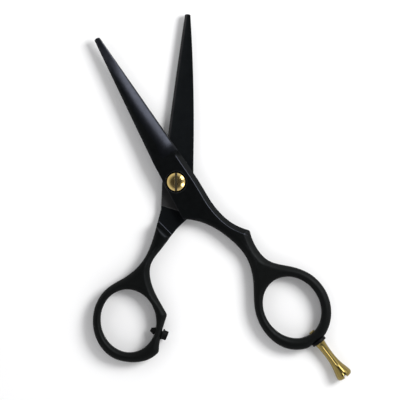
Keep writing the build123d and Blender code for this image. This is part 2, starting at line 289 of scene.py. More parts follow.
def smooth(v, low, high):
    """0 below low, 1 above high, and an S between them."""
    t = np.clip((v - low) / (high - low), 0, 1)
    return t * t * (3 - 2 * t)


def standing(name, bm, place, mesh=None):
    """Puts the bmesh in the scene as an object, its normals facing out."""
    mesh = mesh or bpy.data.meshes.new(name)
    bmesh.ops.recalc_face_normals(bm, faces=bm.faces)
    bm.to_mesh(mesh)
    bm.free()
    obj = bpy.data.objects.new(name, mesh)
    obj.matrix_world = place
    bpy.context.scene.collection.objects.link(obj)
    return obj


# ---------------------------------------------------------------- the two halves
# rounding of the handles' outer edge and of the finger holes: width inwards, depth
RING_R, RING_B = 2.15, 2.0
HOLE_R, HOLE_B = 1.82, 1.8
DEEPEST = 2.3
FACET_W, FACET_DROP = 1.70, 1.30
RIDGE_SOFT = 0.12
EDGE_BREAK = 0.12
# bores round the pivot
RECESS_R, RECESS_RIM_R, RECESS_RIM = 3.485, 3.56, 0.08
POCKET_R = 3.785
# finishes on each half, as material indices
COATING, GROUND, HONED, RIDE, INNER = range(5)
# mesh rows beside the outline and the finger hole, and the grid between them
ROWS = (0.08, 0.25, 0.55, 0.95, 1.3, 1.58, 1.70, 1.82, 2.15)
HOLE_ROWS = (0.07, 0.22, 0.47, 0.8, 1.15, 1.5, 1.82)
GRID, GRID_CLEAR = 0.62, 0.25
ROOT_CLEAR, ROW_SLACK = 0.1, 0.03
NEAREST, POINT_GAP, POINT_CELL = 0.05, 0.065, 0.09
HOLE_POINTS, BORE_POINTS = 170, 72


def rounding(d, radius, depth, crisp):
    """How far a rounded edge lies below its flat at distance d from the outline. crisp is 1 for a facet and
    0 for an oval."""
    u = np.clip(1 - d / radius, 0, 1)
    oval = 1 - np.sqrt(np.clip(1 - u * u, 0, 1))
    facet = 0.62 * u + 0.38 * u ** 3
    return depth * (crisp * facet + (1 - crisp) * oval)


def ridge(e, slope):
    """Depth of a flat facet at e inside its ridge, with the ridge itself slightly softened."""
    w = RIDGE_SOFT
    return slope * np.where(e > w, e, np.where(e < -w, 0, (e + w) ** 2 / (4 * w)))


class Half:
    """A half as a flat mesh of its outline, raised to a top and a bottom surface that a wall joins."""

    def __init__(self, name, node, z, angle, blade, hole, hole_centre, hole_turn, bore, step):
        self.name, self.angle, self.blade = name, angle, blade
        self.outline = half_outline(node, z, -angle, blade, step)
        self.hole = ellipse(hole_centre, hole, hole_turn, HOLE_POINTS)
        self.bore = circle(bore, BORE_POINTS)
        self.loops = [self.outline, self.hole, self.bore]
        self.extra = []

    def measure(self, p):
        """Distances that the height functions share."""
        return {"x": p[:, 0], "y": p[:, 1], "r": np.hypot(p[:, 0], p[:, 1]),
                "out": distance(p, self.outline), "hole": distance(p, self.hole)}

    def rows(self):
        """Points on the rows beside the edges, on the blade, and along the half's own features."""
        rows = []
        for q, d in offset_rows(self.outline, ROWS, 1):
            q = q[q[:, 1] < ROOT_Y - ROOT_CLEAR]
            rows.append(q[distance(q, self.outline) > d - ROW_SLACK])
        rows += [q for q, _ in offset_rows(self.hole, HOLE_ROWS, -1)]
        p = np.vstack([*rows, self.blade.points(), *self.extra])
        p = p[inside(p, self.loops)]
        near = np.minimum(distance(p, self.outline), distance(p, self.hole))
        near = np.minimum(near, np.abs(np.hypot(p[:, 0], p[:, 1]) - np.hypot(*self.bore[0])))
        return p[near > NEAREST]

    def grid(self):
        """An even grid of points on the handle, clear of the rows."""
        lo, hi = self.outline.min(0), self.outline.max(0)
        x, y = np.meshgrid(np.arange(lo[0], hi[0], GRID), np.arange(lo[1], ROOT_Y, GRID * 0.87))
        x = x + (np.arange(x.shape[0])[:, None] % 2) * GRID / 2
        p = np.stack([x.ravel(), y.ravel()], 1)
        p = p[inside(p, self.loops)]
        clear = distance(p, self.outline) > ROWS[-1] + GRID_CLEAR
        return p[clear & (distance(p, self.hole) > HOLE_ROWS[-1] + GRID_CLEAR)]

    def flat_mesh(self):
        """(points, triangles) that fill the outline, the triangles counter-clockwise."""
        points = thinned(np.vstack(self.loops), (self.rows(), self.grid()), POINT_GAP, POINT_CELL)
        edges, start = [], 0
        for loop in self.loops:
            n = len(loop)
            edges += [(start + k, start + (k + 1) % n) for k in range(n)]
            start += n
        got = delaunay_2d_cdt([Vector(p) for p in points], edges, [], 0, 1e-6)
        co = np.array([(v.x, v.y) for v in got[0]])
        tri = np.array([f for f in got[2] if len(f) == 3])
        tri = tri[inside(co[tri].mean(1), self.loops)]
        a, b, c = co[tri[:, 0]], co[tri[:, 1]], co[tri[:, 2]]
        flip = ((b - a)[:, 0] * (c - a)[:, 1] - (b - a)[:, 1] * (c - a)[:, 0]) < 0
        tri[flip] = tri[flip][:, ::-1]
        return co, tri

    def build(self):
        """The half as an object: the flat mesh raised to both surfaces, its wall, and its finishes."""
        co, tri = self.flat_mesh()
        n = len(co)
        directed = dict.fromkeys((int(f[k]), int(f[(k + 1) % 3])) for f in tri for k in range(3))
        rim = [e for e in directed if (e[1], e[0]) not in directed]
        flat = turned(co, self.angle) * MM
        surfaces = self.heights(self.measure(co))
        verts = [(x, y, z * MM) for surface in surfaces for (x, y), z in zip(flat, surface)]
        faces = [tuple(map(int, f)) for f in tri]
        faces += [tuple(int(v) + n for v in f[::-1]) for f in tri]
        faces += [(i, i + n, j + n, j) for i, j in rim]
        middles = self.measure(co[tri].mean(1))
        kinds = [*self.paint_top(middles), *self.paint_bottom(middles), *[COATING] * len(rim)]
        mesh = bpy.data.meshes.new(self.name)
        mesh.from_pydata(verts, [], faces)
        mesh.polygons.foreach_set("material_index", np.array(kinds, np.int32))
        bm = bmesh.new()
        bm.from_mesh(mesh)
        return standing(self.name, bm, Matrix.Identity(4), mesh)


class UpperHalf(Half):
    """The half on top. Its shoulder underneath is a V, open towards the tip."""
    V_APEX, V_LEFT, V_RIGHT = (1.9, -17.4), (-10.9, 9.4), (10.1, 9.4)
    V_RAMP, V_LIP = 1.1, 0.55
    ROUNDED_Y = (-17.5, -11.5)
    CRISP_Y, CRISP_X, CRISP_LEAN = (-40, -36.5), (2.5, 5.5), 0.45
    FLANK_Y, FACET_END_Y = (-26.25, 9.25), (6.6, 9.0)
    FLANK_MIDDLE = ((-26.2, -17.6, -12, 9.2), (10.3, 5.4, 1.6, 1.0))
    CREST_TOP_Y, CREST_HALF, CREST_CLEAR = 8.0, 0.13, 1.0
    RIDE_Y = (-7, 7.5)

    def measure(self, p):
        """Also the distances from the faceted right flank and from the rest of the outline."""
        m = super().measure(p)
        x, y = self.outline.T
        flank = (y > self.FLANK_Y[0]) & (y < self.FLANK_Y[1]) & (x > np.interp(y, *self.FLANK_MIDDLE))
        first = [i for i in range(len(flank)) if flank[i] and not flank[i - 1]][0]
        outline, count = np.roll(self.outline, -first, 0), int(flank.sum())
        m["flank"] = distance(p, outline[:count], False)
        m["rest"] = distance(p, np.vstack([outline[count - 1:], outline[:1]]), False)
        return m

    def shoulder(self, x, y):
        """How far a point lies outside the V, away from the tip."""
        (ax, ay), (lx, ly), (rx, ry) = self.V_APEX, self.V_LEFT, self.V_RIGHT
        left = -((x - ax) * ly - (y - ay) * lx) / math.hypot(lx, ly)
        right = ((x - ax) * ry - (y - ay) * rx) / math.hypot(rx, ry)
        return np.maximum(left, right)

    def heights(self, m):
        x, y, r = m["x"], m["y"], m["r"]
        soft = 1 - smooth(y, *self.ROUNDED_Y)
        crisp = smooth(y, *self.CRISP_Y) * smooth(x - self.CRISP_LEAN * (y - self.CRISP_Y[0]), *self.CRISP_X)
        radius = EDGE_BREAK + (RING_R - EDGE_BREAK) * soft
        depth = EDGE_BREAK + (RING_B - EDGE_BREAK) * soft
        drop = rounding(m["rest"], radius, depth, crisp) + rounding(m["hole"], HOLE_R, HOLE_B, 0)
        facet = ridge(FACET_W - m["flank"], FACET_DROP / FACET_W)
        facet = facet * (1 - smooth(y, *self.FACET_END_Y))
        top = TOP - np.maximum(np.minimum(drop, DEEPEST), facet)
        blade = y > ROOT_Y - 1e-6
        hollow, outer, _ = self.blade.heights(x, y)
        top = np.where(blade, UPPER_BOTTOM + outer, top)
        top = np.where(r < RECESS_RIM_R, np.minimum(top, TOP - RECESS_RIM), top)
        top = np.where(r < RECESS_R, RECESS_FLOOR, top)
        flank = rounding(m["flank"], radius, depth, 0) * (m["flank"] < m["rest"])
        under = np.minimum(drop + flank, DEEPEST)
        out = self.shoulder(x, y)
        ramp = np.clip(out / self.V_RAMP, 0, 1)
        rise = UPPER_BOTTOM * np.where(out <= 0, 1, self.V_LIP * (1 - ramp) ** 2)
        bottom = np.where(blade, UPPER_BOTTOM + hollow, np.maximum(rise, under))
        return top, bottom

    def paint_top(self, m):
        _, _, s = self.blade.heights(m["x"], m["y"])
        crest = (m["y"] < self.CREST_TOP_Y) & (np.abs(m["flank"] - FACET_W) < self.CREST_HALF)
        crest &= m["rest"] > self.CREST_CLEAR
        return np.where(crest | ((s > 0) & (m["y"] > ROOT_Y)), GROUND, COATING)

    def paint_bottom(self, m):
        x, y = m["x"], m["y"]
        band = (y > ROOT_Y) & (np.abs(self.blade.edge(y) - x) < HONED_W)
        ride = (y > self.RIDE_Y[0]) & (y < self.RIDE_Y[1]) & (self.shoulder(x, y) < 0)
        return np.where(band, HONED, np.where(ride, RIDE, np.where(y > ROOT_Y, INNER, COATING)))


class LowerHalf(Half):
    """The half underneath. Its inner face is lowered where the other half sweeps, down to a shoulder."""
    SHOULDER, SHOULDER_WAY = (-5.5, -12.91), (0.751, -0.660)
    STEP, STEP_WAY = (-9.0, -7.2), (0.9728, -0.2316)
    RIDE_STEP, STEP_RUN = 0.25, 0.14
    FOOT, STEEP, STEEPNESS = 0.6, 0.9, 2.0
    ROUNDED_Y = (-19.0, -12.5)
    CRISP_Y, CRISP_END_Y, CRISP_X = (-43, -39.5), (-25, -21), (-9.2, -7.6)
    CRISP_LEAN, CRISP_MIDDLE_Y, CRISP_NARROWER = 0.32, -30, 0.33
    FOOT_BAND, FOOT_CLEAR = (-0.02, 0.4), 0.3
    CREST_BAND, CREST_CLEAR = (1.5, 2.9), 1.1
    RIDE_TOP_Y, RIDE_RIGHT = 7.0, 3.0

    def past(self, line, way, m):
        """Signed distance past a line, away from the tip."""
        return -((m["y"] - line[1]) * way[0] - (m["x"] - line[0]) * way[1])

    def climb(self, past, total):
        """Height of the shoulder's S-shaped flank: small foot, steep part, then a long rounding to level."""
        foot = self.STEEPNESS * self.FOOT / 2
        steep = foot + self.STEEPNESS * (self.STEEP - self.FOOT)
        reach = 2 * (total - steep) / self.STEEPNESS
        t = np.clip((past - self.STEEP) / reach, 0, 1)
        z = self.STEEPNESS * np.clip(past, 0, self.FOOT) ** 2 / (2 * self.FOOT)
        z = z + self.STEEPNESS * np.clip(past - self.FOOT, 0, self.STEEP - self.FOOT)
        return z + (total - steep) * (1 - (1 - t) ** 2)

    def heights(self, m):
        x, y = m["x"], m["y"]
        soft = 1 - smooth(y, *self.ROUNDED_Y)
        crisp = smooth(y, *self.CRISP_Y) * (1 - smooth(y, *self.CRISP_END_Y))
        crisp = crisp * smooth(x - self.CRISP_LEAN * (y - self.CRISP_MIDDLE_Y), *self.CRISP_X)
        radius = EDGE_BREAK + (RING_R - self.CRISP_NARROWER * crisp - EDGE_BREAK) * soft
        depth = EDGE_BREAK + (RING_B - EDGE_BREAK) * soft
        drop = rounding(m["out"], radius, depth, crisp) + rounding(m["hole"], HOLE_R, HOLE_B, 0)
        drop = np.minimum(drop, DEEPEST)
        past = self.past(self.SHOULDER, self.SHOULDER_WAY, m)
        step = self.past(self.STEP, self.STEP_WAY, m)
        floor = LOWER_TOP - self.RIDE_STEP * np.clip(step / self.STEP_RUN + 0.5, 0, 1)
        plate = floor - rounding(m["out"], EDGE_BREAK, EDGE_BREAK, 0)
        top = np.where(past > 0, np.minimum(floor + self.climb(past, TOP - floor), TOP - drop), plate)
        hollow, outer, _ = self.blade.heights(x, y)
        blade = y > ROOT_Y - 1e-6
        top = np.where(blade, LOWER_TOP - hollow, top)
        top = np.where(m["r"] < POCKET_R, POCKET_FLOOR, top)
        return top, np.where(blade, LOWER_TOP - outer, drop)

    def paint_top(self, m):
        x, y, out = m["x"], m["y"], m["out"]
        band = (y > ROOT_Y) & (np.abs(self.blade.edge(y) - x) < HONED_W)
        past = self.past(self.SHOULDER, self.SHOULDER_WAY, m)
        ride = (y < self.RIDE_TOP_Y) & (self.past(self.STEP, self.STEP_WAY, m) < 0) & (x < self.RIDE_RIGHT)
        foot = (past > self.FOOT_BAND[0]) & (past < self.FOOT_BAND[1]) & (out > self.FOOT_CLEAR)
        # the crest band takes the lighter inner finish as a painted highlight where the shoulder rounds over
        crest = (past > self.CREST_BAND[0]) & (past < self.CREST_BAND[1]) & (out > self.CREST_CLEAR)
        flank = np.where(past < 0, INNER, np.where(foot, GROUND, np.where(crest, INNER, COATING)))
        return np.where(band, HONED, np.where(ride, RIDE, flank))

    def paint_bottom(self, m):
        _, _, s = self.blade.heights(m["x"], m["y"])
        return np.where((s > 0) & (m["y"] > ROOT_Y), GROUND, COATING)


# mesh rows along the shoulders and steps, and round the bores
V_ROWS, V_LENGTH, V_STEP = (-0.06, 0.06, 0.35, 0.7, 1.1), 14, 0.28
SHOULDER_ROWS = (-0.04, 0.04, 0.12, 0.22, 0.32, 0.5, 0.7, 0.9, 1.05, 1.25, 1.5, 1.75, 2.0, 2.25, 2.5)
STEP_ROWS = (-0.08, 0.08)
RECESS_RINGS, RECESS_OUTER = (3.47, 3.50, 3.58), 3.9
POCKET_RINGS, POCKET_OUTER = (3.77, 3.80), 4.1
RIM_POINTS = 48


def along(point, way, offsets, reach, step):
    """Points on lines parallel to a feature line."""
    p, w = np.array(point), np.array(way)
    n = np.array([w[1], -w[0]])
    t = np.arange(-reach, reach, step)
    return np.vstack([p + np.outer(t, w) + n * o for o in offsets])


def fine_between(low, high, fine, coarse):
    """A step length that is finer between two heights on the outline."""
    return lambda x, y: np.where((y > low) & (y < high), fine, coarse)


def make_halves():
    """Both halves, with the extra mesh rows along their shoulders and bores."""
    upper = UpperHalf("front_half", "upper_half", z=4.1, angle=OPEN_HALF, blade=UPPER_BLADE,
                      hole=(10.88, 9.23), hole_centre=(13.76, -55.74), hole_turn=97.1, bore=2.6,
                      step=fine_between(-29, -10, 0.24, 0.36))
    apex = np.array(UpperHalf.V_APEX)
    for leg, side in ((UpperHalf.V_LEFT, 1), (UpperHalf.V_RIGHT, -1)):
        way = np.array(leg) / math.hypot(*leg)
        outward = np.array([-way[1], way[0]]) * side
        steps = np.arange(0, V_LENGTH, V_STEP)
        upper.extra += [[apex + way * t + outward * o] for t in steps for o in V_ROWS]
    upper.extra += [circle(r, BORE_POINTS) for r in RECESS_RINGS] + [circle(RECESS_OUTER, RIM_POINTS)]
    lower = LowerHalf("back_half", "lower_half", z=1.4, angle=-OPEN_HALF, blade=LOWER_BLADE,
                      hole=(10.60, 9.31), hole_centre=(-12.95, -47.60), hole_turn=103.0, bore=3.0,
                      step=fine_between(-20, -6, 0.14, 0.36))
    lower.extra.append(along(LowerHalf.SHOULDER, LowerHalf.SHOULDER_WAY, SHOULDER_ROWS, reach=14, step=0.22))
    lower.extra.append(along(LowerHalf.STEP, LowerHalf.STEP_WAY, STEP_ROWS, reach=26, step=0.25))
    lower.extra += [circle(r, BORE_POINTS) for r in POCKET_RINGS] + [circle(POCKET_OUTER, RIM_POINTS)]
    return upper.build(), lower.build()


front, back = make_halves()

# ---------------------------------------------------------------- turned fittings, mm along their axes
MID_Z = TOP / 2
REST_BASE, REST_AIM, REST_LENGTH = (16.19, -70.62), -81.8, 14.5
REST_BORE_R, REST_BORE_L = 1.28, 8.0
THREAD_PITCH, THREAD_DEPTH, THREAD_LEAST_R = 0.45, 0.27, 0.9
WASHER_T, WASHER_R, WASHER_ROUND = 1.0, 2.55, 0.22
BUMPER_END, BUMPER_AIM = (0.39, -51.89), -18.8
BUMPER_OUT, BUMPER_WALL = 2.0, 2.45
NECK_END = -BUMPER_OUT - BUMPER_WALL
NECK_R, TAIL_SEAT_R, TAIL_SEAT_L, FLANGE_SEAT_R = 1.1, 1.3, 3.2, 1.9
SCREW_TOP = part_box("pivot_screw")[1].z / MM
SCREW_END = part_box("pivot_screw")[0].z / MM
SLOT_TURN = math.radians(-12.6)
SLOT_HALF = 0.42
INSIDE = 1      # material index of a slot's walls and floor, painted dark brown as painted shade
BORE_SIDES, FINE_SIDES, SCREW_SIDES = 40, 64, 96


def seat(point, aim, half_turn):
    """Where a turned piece stands: its own Z runs along aim, its own X points up."""
    x, y = turned([point], half_turn)[0]
    aim = math.radians(aim) + half_turn
    way = Vector((math.cos(aim), math.sin(aim), 0))
    up = Vector((0, 0, 1))
    place = Matrix((up, way.cross(up), way)).transposed().to_4x4()
    place.translation = Vector((x, y, MID_Z)) * MM
    return place


def arc(middle, radius, start, end, count):
    """Rounded corner of a profile, as (distance along the axis, radius), between two angles in degrees."""
    angles = np.radians(np.linspace(start, end, count))
    return [(middle[0] + radius * math.cos(a), middle[1] + radius * math.sin(a)) for a in angles]


def thread_cut(d, turn):
    """How deep the thread lies below its crests at distance d and a share of a turn. It fades out at 0."""
    phase = (d / THREAD_PITCH - turn) % 1.0
    return THREAD_DEPTH * min(1.0, -d / (2 * THREAD_PITCH)) * abs(2 * phase - 1)


def lathe(name, profile, place, sides=FINE_SIDES, threaded=False):
    """A closed turned piece. A threaded one carries a helical thread where its profile lies below 0."""
    bm = bmesh.new()
    rings = []
    for d, r in profile:
        ring = []
        for k in range(sides):
            a = 2 * math.pi * k / sides
            depth = thread_cut(d, k / sides) if threaded and d < 0 and r > THREAD_LEAST_R else 0.0
            x, y = (r - depth) * math.cos(a), (r - depth) * math.sin(a)
            ring.append(bm.verts.new((x * MM, y * MM, d * MM)))
        rings.append(ring)
    for low, high in zip(rings, rings[1:]):
        for k in range(sides):
            j = (k + 1) % sides
            bm.faces.new((low[k], low[j], high[j], high[k]))
    for ring, (d, _), flip in ((rings[0], profile[0], True), (rings[-1], profile[-1], False)):
        pole = bm.verts.new((0, 0, d * MM))
        for k in range(sides):
            j = (k + 1) % sides
            bm.faces.new((pole, ring[j], ring[k]) if flip else (pole, ring[k], ring[j]))
    return standing(name, bm, place)


def prism(name, corners, length, place, index):
    """A cutter: an outline in its own X-Z plane, drawn out to both sides along Y."""
    bm = bmesh.new()
    ends = [[bm.verts.new((x * MM, side * length * MM, z * MM)) for x, z in corners] for side in (-1, 1)]
    n = len(corners)
    for k in range(n):
        bm.faces.new((ends[0][k], ends[0][(k + 1) % n], ends[1][(k + 1) % n], ends[1][k]))
    bm.faces.new(ends[0][::-1])
    bm.faces.new(ends[1])
    for f in bm.faces:
        f.material_index = index
    obj = standing(name, bm, place)
    empty_slots(obj, index + 1)
    return obj


def empty_slots(obj, count):
    for _ in range(count):
        obj.data.materials.append(None)


def cut(obj, cutter):
    """Takes the cutter out of the piece for good."""
    bpy.context.view_layer.update()
    step = obj.modifiers.new("cut", "BOOLEAN")
    step.operation, step.solver, step.object = "DIFFERENCE", "EXACT", cutter
    done = bpy.data.meshes.new_from_object(obj.evaluated_get(bpy.context.evaluated_depsgraph_get()))
    obj.modifiers.clear()
    old, used = obj.data, cutter.data
    obj.data = done
    bpy.data.objects.remove(cutter)
    bpy.data.meshes.remove(old)
    bpy.data.meshes.remove(used)


def bore(obj, place, radius, start, end=4.0):
    """Drills a hole along a turned piece's axis."""
    cut(obj, lathe("bore", [(start, radius), (end, radius)], place, BORE_SIDES))


REST_SEAT = seat(REST_BASE, REST_AIM, OPEN_HALF)
REST_TURN = -(math.radians(REST_AIM) + OPEN_HALF)
BUMPER_SEAT = seat(BUMPER_END, BUMPER_AIM, -OPEN_HALF)

empty_slots(front, INNER + 1)
empty_slots(back, INNER + 1)
bore(front, REST_SEAT, REST_BORE_R, -REST_BORE_L)
bore(back, BUMPER_SEAT, FLANGE_SEAT_R, -BUMPER_OUT)
bore(back, BUMPER_SEAT, NECK_R, -7.0)
bore(back, BUMPER_SEAT, TAIL_SEAT_R, NECK_END - TAIL_SEAT_L, NECK_END)


def make_screw():
    """Tension screw: shank with a chamfered end below, domed head with a rolled rim and a chamfered slot."""
    rim, roll, dome, shank, neck = 3.14, 0.30, 7.5, 1.73, 2.0
    shank_top, head_t = 2.47, 0.97
    head_bottom = SCREW_TOP - head_t
    tilt = math.degrees(math.asin((rim - roll) / (dome - roll)))
    profile = [(SCREW_END, shank - 0.3), (SCREW_END + 0.3, shank), (shank_top, shank)]
    profile += [(shank_top + 0.01, neck), (head_bottom, neck)]
    profile += [(head_bottom + 0.01, rim - 0.05), (head_bottom + 0.03, rim)]
    top_of_roll = SCREW_TOP - dome + (dome - roll) * math.cos(math.radians(tilt))
    profile += arc((top_of_roll, rim - roll), roll, 90, tilt, 12)
    for k in range(1, 12):
        a = math.radians(tilt * (1 - k / 12))
        profile.append((SCREW_TOP - dome * (1 - math.cos(a)), dome * math.sin(a)))
    obj = lathe("tension_screw", profile, Matrix.Identity(4), SCREW_SIDES)
    floor_z, lip, chamfer = SCREW_TOP - 0.75, SCREW_TOP - 0.22, 1.2
    right = [(SLOT_HALF, floor_z), (SLOT_HALF, lip), (SLOT_HALF + chamfer, lip + chamfer)]
    left = [(-x, z) for x, z in right]
    corners = [left[0], *right, left[2], left[1]]
    cut(obj, prism("screw_slot", corners, 5, Matrix.Rotation(SLOT_TURN, 4, "Z"), INSIDE))
    return obj


def faired(knots, steps):
    """A smooth curve through (distance, radius) knots, without the first of them."""
    at, radius = np.array(knots).T
    slope = np.gradient(radius, at)
    out = []
    for k in range(len(at) - 1):
        gap = at[k + 1] - at[k]
        for t in np.linspace(0, 1, steps + 1)[1:]:
            h = (2 * t ** 3 - 3 * t * t + 1, t ** 3 - 2 * t * t + t, 3 * t * t - 2 * t ** 3, t ** 3 - t * t)
            r = h[0] * radius[k] + h[1] * gap * slope[k] + h[2] * radius[k + 1] + h[3] * gap * slope[k + 1]
            out.append((at[k] + t * gap, r))
    return out


def make_rest():
    """Finger rest: threaded end, small collar, narrow waist, bell-shaped end with a slot."""
    profile = [(-4.8, 0.98), (-4.6, 1.22)]
    profile += [(d, 1.245) for d in np.arange(-4.52, -0.05, THREAD_PITCH / 6)]
    profile += arc((0.16, 1.57), 0.16, 180, 90, 5)
    waist = [(0.16, 1.73), (0.6, 1.66), (2.4, 1.49), (4.6, 1.41), (6.8, 1.46)]
    bell = [(8.6, 1.65), (10.2, 1.97), (11.6, 2.36), (12.6, 2.61), (13.2, 2.715)]
    profile += faired(waist + bell, 6)
    profile += arc((REST_LENGTH - 1.15, 1.57), 1.15, 80, 0, 14)
    profile.append((REST_LENGTH - 0.02, 0.8))
    obj = lathe("finger_rest_pin", profile, REST_SEAT, threaded=True)
    floor_z, over = REST_LENGTH - 0.9, REST_LENGTH + 1
    corners = [(-5, floor_z), (5, floor_z), (5, over), (-5, over)]
    cut(obj, prism("rest_slot", corners, SLOT_HALF, REST_SEAT, INSIDE))
    return obj


def make_collar():
    """Nylon collar between ring and finger rest, its corners rounded. The hole clears the thread."""
    e, edge_r = WASHER_ROUND, WASHER_R - WASHER_ROUND
    rounded = arc((-WASHER_T + e, edge_r), e, 180, 90, 5) + arc((-e, edge_r), e, 90, 0, 5)
    profile = [(-WASHER_T, edge_r - 0.3), *rounded, (0, edge_r - 0.3)]
    obj = lathe("finger_rest_collar", profile, REST_SEAT)
    bore(obj, REST_SEAT, REST_BORE_R, -2, 1)
    return obj


def make_bumper():
    """Rubber stop: domed pad, flange against the ring, neck through its wall, tapered tail inside."""
    pad, e, inner = 1.6, 0.42, -BUMPER_OUT
    profile = [(NECK_END - 1.6, 0.575), *arc((NECK_END - 1.45, 0.55), 0.15, 150, 90, 3)]
    profile += [(NECK_END - 0.9, 0.92), (NECK_END - 0.25, 1.26), (NECK_END - 0.1, TAIL_SEAT_R)]
    profile += [(NECK_END, 1.22), (NECK_END + 0.01, NECK_R), (inner - 0.01, NECK_R), (inner, 1.2)]
    profile += arc((inner + 0.12, 1.78), 0.12, 180, 90, 4) + arc((inner + 0.33, 1.78), 0.12, 90, 0, 4)
    profile += [(inner + 0.47, pad + 0.06), (inner + 0.55, pad)] + arc((-e, pad - e), e, 90, 0, 9)
    return lathe("rubber_bumper", profile, BUMPER_SEAT)


screw, rest, collar, bumper = make_screw(), make_rest(), make_collar(), make_bumper()

# piece, node that it replaces, body, material slot, angle above which an edge is sharp
PIECES = ((front, "upper_half", "upper", "black_coating", 30),
          (back, "lower_half", "lower", "black_coating", 30),
          (screw, "pivot_screw", "screw", "gold_plate", 35),
          (rest, "finger_rest", "rest", "gold_plate", 40),
          (collar, "finger_rest_washer", "rest_collar", "black_plastic", 40),
          (bumper, "bumper", "lower", "black_rubber", 40))
# edge sharpness range for the lighter edges: partly edge wear, partly a painted highlight
WEAR_GLINT_FROM, WEAR_GLINT_SPAN = 0.2, 0.9


def mark_wear_and_glint(obj):
    """Writes how sharply the surface turns outwards at each vertex, for the finishes' edge wear and painted
    highlight.
    """
    bm = bmesh.new()
    bm.from_mesh(obj.data)
    sharp = np.zeros(len(bm.verts))
    for e in bm.edges:
        if len(e.link_faces) == 2:
            turn = e.calc_face_angle_signed(0.0)
            for v in e.verts:
                sharp[v.index] = max(sharp[v.index], turn)
    bm.free()
    wear_and_glint = obj.data.attributes.new("wear_and_glint", "FLOAT", "POINT")
    wear_and_glint.data.foreach_set("value", np.clip((sharp - WEAR_GLINT_FROM) / WEAR_GLINT_SPAN, 0, 1).astype(np.float32))


for obj, node, body, slot_name, crease in PIECES:
    obj.data.transform(obj.matrix_world)
    obj.matrix_world = Matrix.Identity(4)
    mark_wear_and_glint(obj)
    obj.data.set_sharp_from_angle(angle=math.radians(crease))
    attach(obj, body)
    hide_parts(node)


# ---------------------------------------------------------------- finishes
GRAIN_DEPTH, LINE_DEPTH = 0.00002, 0.00001
WEAR_GLINT_NOISE = 1500.0
FAR_TONE_FROM, FAR_TONE_TO = 0.014, 0.040      # from the pivot, in metres


